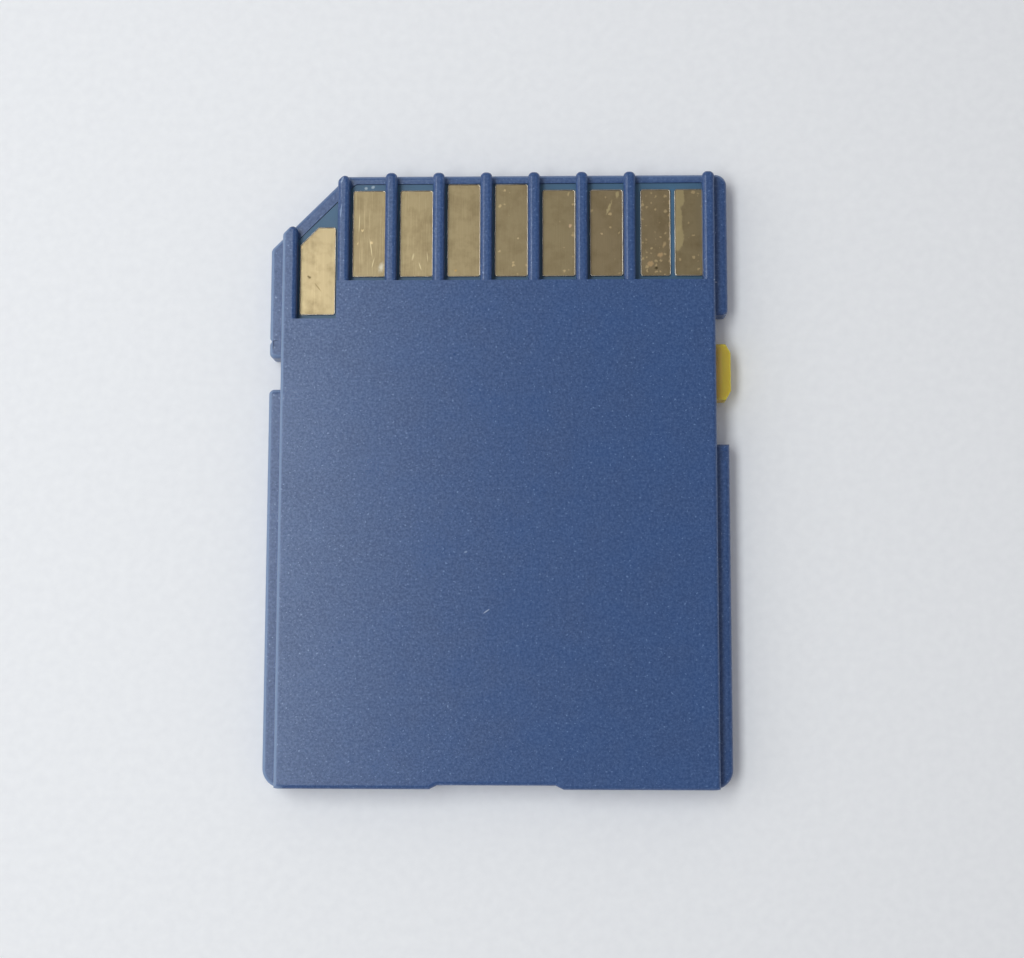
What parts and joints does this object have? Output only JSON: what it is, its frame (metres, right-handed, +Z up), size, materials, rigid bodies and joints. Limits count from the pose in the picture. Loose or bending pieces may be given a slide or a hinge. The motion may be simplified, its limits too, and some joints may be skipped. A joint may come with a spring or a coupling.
{
  "type": "memory card",
  "caption": "Full-size flash memory card with a cut corner, recessed gold contacts between ribs and a sliding write-protect tab.",
  "frame": {"origin": "under the middle of the card, on the face it lies on", "axes": "+X across the card towards the write-protect slider, +Y towards the contact edge, +Z up out of the contact side"},
  "size_m": [0.0241, 0.032, 0.0021],
  "materials": {
    "shell_plastic": "fine spark-eroded texture, slightly worn",
    "solder_mask": "satin solder mask over glass-epoxy",
    "contact_gold": "thin gold plating, scratched by use",
    "slider_plastic": "satin moulded",
    "package_epoxy": "moulded epoxy",
    "capacitor_ceramic": "fired ceramic with tinned ends",
    "resistor_ceramic": "glazed ceramic with tinned ends"
  },
  "bodies": {
    "card": {"back_shell": "shell_plastic", "front_shell": "shell_plastic", "circuit_board": "solder_mask", "contact_pad_1": "contact_gold", "contact_pad_2": "contact_gold", "contact_pad_3": "contact_gold", "contact_pad_4": "contact_gold", "contact_pad_5": "contact_gold", "contact_pad_6": "contact_gold", "contact_pad_7": "contact_gold", "contact_pad_8": "contact_gold", "contact_pad_9": "contact_gold", "flash_chip": "package_epoxy", "controller_chip": "package_epoxy", "capacitor_1": "capacitor_ceramic", "capacitor_2": "capacitor_ceramic", "capacitor_3": "capacitor_ceramic", "capacitor_4": "capacitor_ceramic", "resistor_1": "resistor_ceramic", "resistor_2": "resistor_ceramic", "resistor_3": "resistor_ceramic", "resistor_4": "resistor_ceramic", "resistor_5": "resistor_ceramic", "resistor_6": "resistor_ceramic"},
    "slider": {"write_protect_slider": "slider_plastic"}
  },
  "joints": [
    {"name": "write_protect_slide", "type": "slide", "parent": "card", "child": "slider", "axis": [0, 1, 0], "range_m": [-0.002, 0]}
  ]
}
